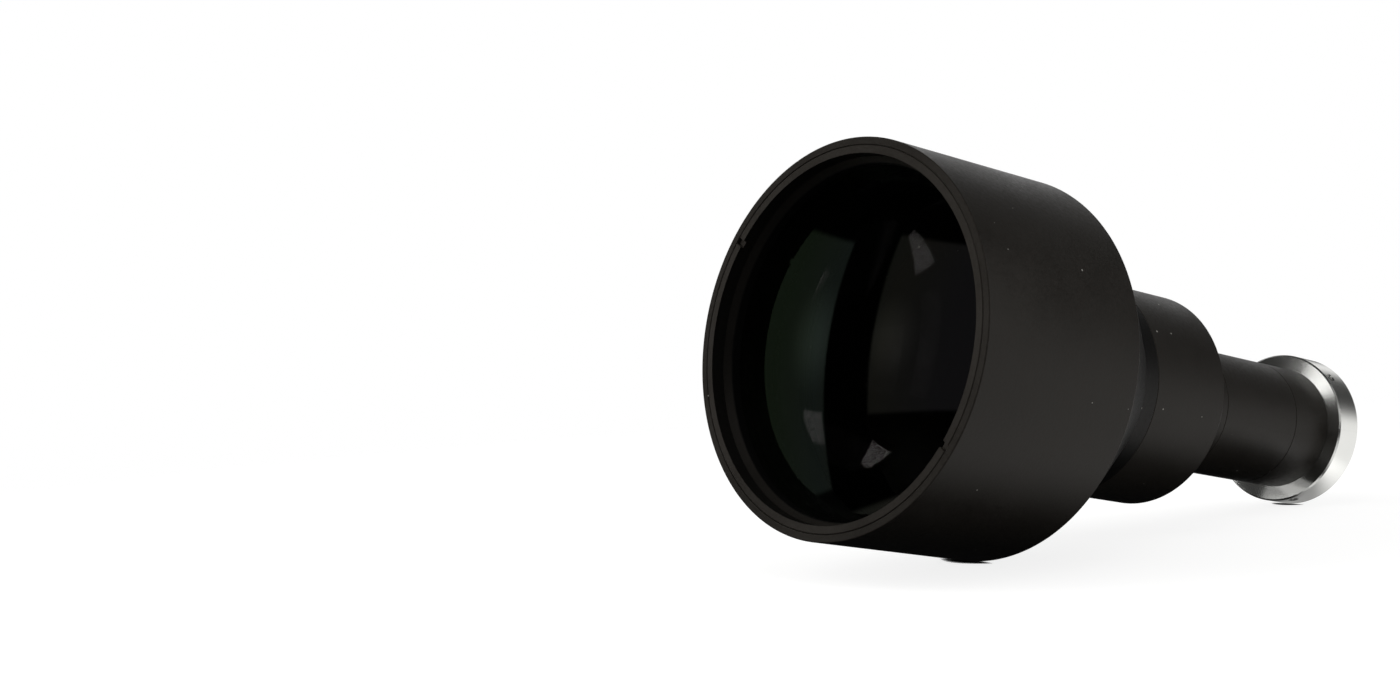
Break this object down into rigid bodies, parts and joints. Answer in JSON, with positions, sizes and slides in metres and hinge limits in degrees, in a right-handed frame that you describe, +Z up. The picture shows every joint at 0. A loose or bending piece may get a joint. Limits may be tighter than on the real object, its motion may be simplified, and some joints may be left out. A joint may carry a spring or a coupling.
{
  "type": "telecentric lens",
  "caption": "Object-side telecentric lens: a wide front hood steps down through cones to a slim rear barrel and a silver adapter ring with a camera bayonet.",
  "frame": {"origin": "centre of the camera flange, on the optical axis", "axes": "+Y along the optical axis towards the camera, -Y out of the front glass, +Z up as the lens lies in the picture"},
  "size_m": [0.143, 0.2795, 0.143],
  "materials": {
    "anodised_black": "black anodised, fine satin",
    "matte_black": "matt black anodised",
    "turned_silver": "lathe turned, clear anodised",
    "bayonet_steel": "turned and polished",
    "screw_steel": "bright steel",
    "coated_glass": "polished, with an anti-reflection coating",
    "inner_glass": "polished, with an anti-reflection coating"
  },
  "bodies": {
    "root": {"front_barrel": "anodised_black", "front_retaining_ring": "anodised_black", "front_pressure_ring": "anodised_black", "front_crown": "coated_glass", "front_flint": "inner_glass", "front_spacer": "matte_black", "front_meniscus": "inner_glass", "front_baffle": "matte_black", "middle_barrel": "anodised_black", "middle_baffle": "matte_black", "rear_barrel": "anodised_black", "end_tube": "anodised_black", "lens_cell": "matte_black", "aperture_stop": "matte_black", "stop_retaining_ring": "matte_black", "rear_meniscus": "inner_glass", "rear_spacer_1": "matte_black", "rear_crown": "inner_glass", "rear_flint": "inner_glass", "rear_spacer_2": "matte_black", "rear_singlet": "inner_glass", "rear_spacer_3": "matte_black", "field_lens": "coated_glass", "rear_retaining_ring": "matte_black", "adapter_ring": "turned_silver", "adapter_set_screws": "screw_steel", "bayonet_plate": "bayonet_steel", "bayonet_screws": "screw_steel"}
  },
  "joints": []
}
